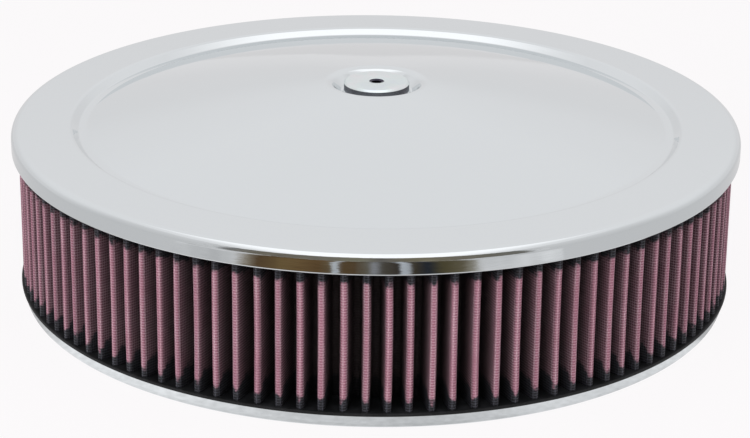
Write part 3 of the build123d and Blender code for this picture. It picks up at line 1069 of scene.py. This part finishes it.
def mottled(tree, place, scale, middle, spread):
    """A level that wavers about a middle one by a share of it."""
    mottle = add(tree, "ShaderNodeTexNoise", {"Vector": place, "Scale": scale, "Detail": 4.0})
    return add(
        tree, "ShaderNodeMapRange",
        {"Value": mottle, "From Min": 0.3, "From Max": 0.7,
         "To Min": middle * (1 - spread), "To Max": middle * (1 + spread)},
    )


def ragged_patches(tree, stops, grey_level):
    """Patches with ragged edges, from a list of (degrees from straight in front, hex value),
    where None is a plain grey."""
    place = add(tree, "ShaderNodeTexCoord").outputs["Object"]
    colours = [
        (degrees, linear(value) if value else level_colour(grey_level))
        for degrees, value in stops
    ]
    shown = colours_round_axis(tree, place, colours, reach=50.0, noise_scale=14.0, shift=9.0)
    level = mottled(tree, place, scale=9.0, middle=1.0, spread=0.35)
    return add(tree, "ShaderNodeEmission", {"Color": shown, "Strength": level})


def floor_grey(tree):
    """The grey floor all round, paler behind the object and close to it."""
    place = add(tree, "ShaderNodeTexCoord").outputs["Object"]
    behind = add(tree, "ShaderNodeSeparateXYZ", {"Vector": place}).outputs["Y"]
    level = add(
        tree, "ShaderNodeMapRange",
        {"Value": behind, "From Max": 0.6, "To Min": FLOOR_CARD_LEVEL, "To Max": 0.77},
    )
    near = add(
        tree, "ShaderNodeMapRange",
        {"Value": from_axis(tree, place), "From Min": 0.18, "From Max": 0.26, "To Min": 1.14},
    )
    both = add(tree, "ShaderNodeMath", {0: level, 1: near}, operation="MULTIPLY")
    return add(tree, "ShaderNodeEmission", {"Color": level_colour(1.0), "Strength": both})


def floor_by_lip(tree):
    """Patches all round the base, mottled and a little darker where it touches the floor, a painted
    contact shadow.
    """
    place = add(tree, "ShaderNodeTexCoord").outputs["Object"]
    colours = [(degrees, level_colour(level)) for degrees, level in LIP_CARD_LEVELS]
    shown = colours_round_axis(tree, place, colours, reach=90.0, noise_scale=60.0, shift=8.0)
    contact_shadow = add(
        tree, "ShaderNodeMapRange",
        {"Value": from_axis(tree, place), "From Min": 0.173, "From Max": 0.178, "To Min": 0.9},
    )
    level = mottled(tree, place, scale=260.0, middle=LIP_CARD_SHINE, spread=0.1)
    both = add(tree, "ShaderNodeMath", {0: level, 1: contact_shadow}, operation="MULTIPLY")
    return add(tree, "ShaderNodeEmission", {"Color": shown, "Strength": both})


def softbox_shine(tree):
    """The softbox's white face, which fades towards its ends."""
    place = add(tree, "ShaderNodeTexCoord").outputs["Object"]
    across = add(tree, "ShaderNodeSeparateXYZ", {"Vector": place}).outputs["X"]
    off = add(tree, "ShaderNodeMath", {0: across}, operation="ABSOLUTE")
    shine = add(
        tree, "ShaderNodeMapRange",
        {"Value": off, "From Min": 0.36, "From Max": 0.88, "To Min": SOFTBOX_SHINE},
        interpolation_type="SMOOTHSTEP",
    )
    return add(tree, "ShaderNodeEmission", {"Color": level_colour(1.0), "Strength": shine})


def ring_corners(inner, outer, height, first, last, steps):
    """Corners of a flat ring between two angles from straight in front. Quads would leave
    seams, so it is one face: outwards round, then back inside."""
    turns = [radians(first + (last - first) * i / steps) for i in range(steps + 1)]
    far = [(outer * sin(turn), -outer * cos(turn), height) for turn in turns]
    near = [(inner * sin(turn), -inner * cos(turn), height) for turn in reversed(turns)]
    return far + near


def build_cards():
    """Cards out of the picture, for the chrome: a grey floor all round the skirt, its patches by
    the base's lip, and the dark flags and the dark room behind the camera, which are the brown
    and blue patches along the front of the skirt."""
    for side, first, last in (("right", 0.0, 180.0), ("left", -180.0, 0.0)):
        grey_ring = ring_corners(*GREY_CARD_RING, first, last, 32)
        lip_ring = ring_corners(*LIP_CARD_RING, first, last, 64)
        reflected_card(f"card_grey_{side}", grey_ring, floor_grey)
        reflected_card(f"card_by_lip_{side}", lip_ring, floor_by_lip)
    reflected_card(
        "flags_on_floor", ring_corners(*FLAG_CARD_RING, -48.0, 44.0, 16), ragged_patches,
        FLOOR_FLAG_COLOURS, FLOOR_CARD_LEVEL,
    )
    half, y, top = DARK_ROOM_WALL
    wall = [(-half, y, 0.0), (half, y, 0.0), (half, y, top), (-half, y, top)]
    reflected_card(
        "dark_room_behind_camera", wall, ragged_patches, DARK_ROOM_COLOURS, DARK_ROOM_LEVEL,
    )
    # The softbox is deeper at its two ends, which light the step at the back
    right_half = [(1.15, -1.3), (1.15, 0.6), (0.85, 0.6), (0.42, 0.22), (0.22, 0.0)]
    left_half = [(-x, y) for x, y in reversed(right_half)]
    box = [(x, y, SOFTBOX_HEIGHT) for x, y in right_half + left_half]
    reflected_card("softbox_face", box, softbox_shine)


def area_lamp(name, place, aim, width, length, radiance):
    """A soft rectangular lamp that the chrome doesn't show."""
    lamp = bpy.data.lights.new(name, "AREA")
    lamp.shape = "RECTANGLE"
    lamp.size = width
    lamp.size_y = length
    lamp.energy = radiance * pi * length * width
    lamp_object = new_object(name, lamp)
    lamp_object.location = place
    direction = Vector(aim) - Vector(place)
    lamp_object.rotation_euler = direction.to_track_quat("-Z", "Y").to_euler()
    lamp_object.visible_glossy = False


def build_lights():
    """A large softbox overhead, in front of the middle, whose card the chrome sees in its place,
    and a front light above the camera and to its left."""
    overhead = (0.0, SOFTBOX_PLACE, SOFTBOX_HEIGHT)
    area_lamp("softbox", overhead, (0.0, SOFTBOX_PLACE, 0.0), 1.3, 1.17, SOFTBOX_LIGHT)
    area_lamp("front_light", (-0.95, -1.7, 1.05), (0.0, 0.0, 0.05), 1.4, 0.9, FRONT_LIGHT)


def place_camera():
    """The photograph's view: from the front, 21 degrees above the level, turned a little."""
    forward = Vector((0.0, cos(CAMERA_PITCH), -sin(CAMERA_PITCH)))
    up = Vector((0.0, sin(CAMERA_PITCH), cos(CAMERA_PITCH)))
    level = Vector((1.0, 0.0, 0.0))
    right = level * cos(CAMERA_ROLL) + up * sin(CAMERA_ROLL)
    top = up * cos(CAMERA_ROLL) - level * sin(CAMERA_ROLL)
    turn = Matrix((right, top, -forward)).transposed().to_4x4()
    lens = bpy.data.cameras.new("camera")
    lens.lens = CAMERA_LENS
    lens.sensor_width = CAMERA_SENSOR
    lens.clip_start = 0.01
    camera = new_object("camera", lens)
    camera.matrix_world = Matrix.Translation(CAMERA_PLACE) @ turn
    bpy.context.scene.camera = camera


place_camera()
bpy.context.scene.view_settings.view_transform = "Standard"

chrome = node_material("chromium_plate_polished", chromium_plate)
build_lid(chrome)
build_base_pan(chrome)
build_seals(node_material("polyurethane_moulded", moulded_polyurethane))
build_pleats(node_material("cotton_gauze_oiled_wire_screen", oiled_gauze))
build_stud(node_material("zinc_plate_on_rolled_thread", zinc_plate, shade_on_stud_end))
build_nut(node_material("zinc_plate_on_turned_nut", zinc_plate, oil_and_shade_in_knurl, NUT_TURNING_PITCH))
build_rubber_rings(node_material("nitrile_rubber_cut", gasket_rubber))

build_world()
build_floor()
build_cards()
build_lights()
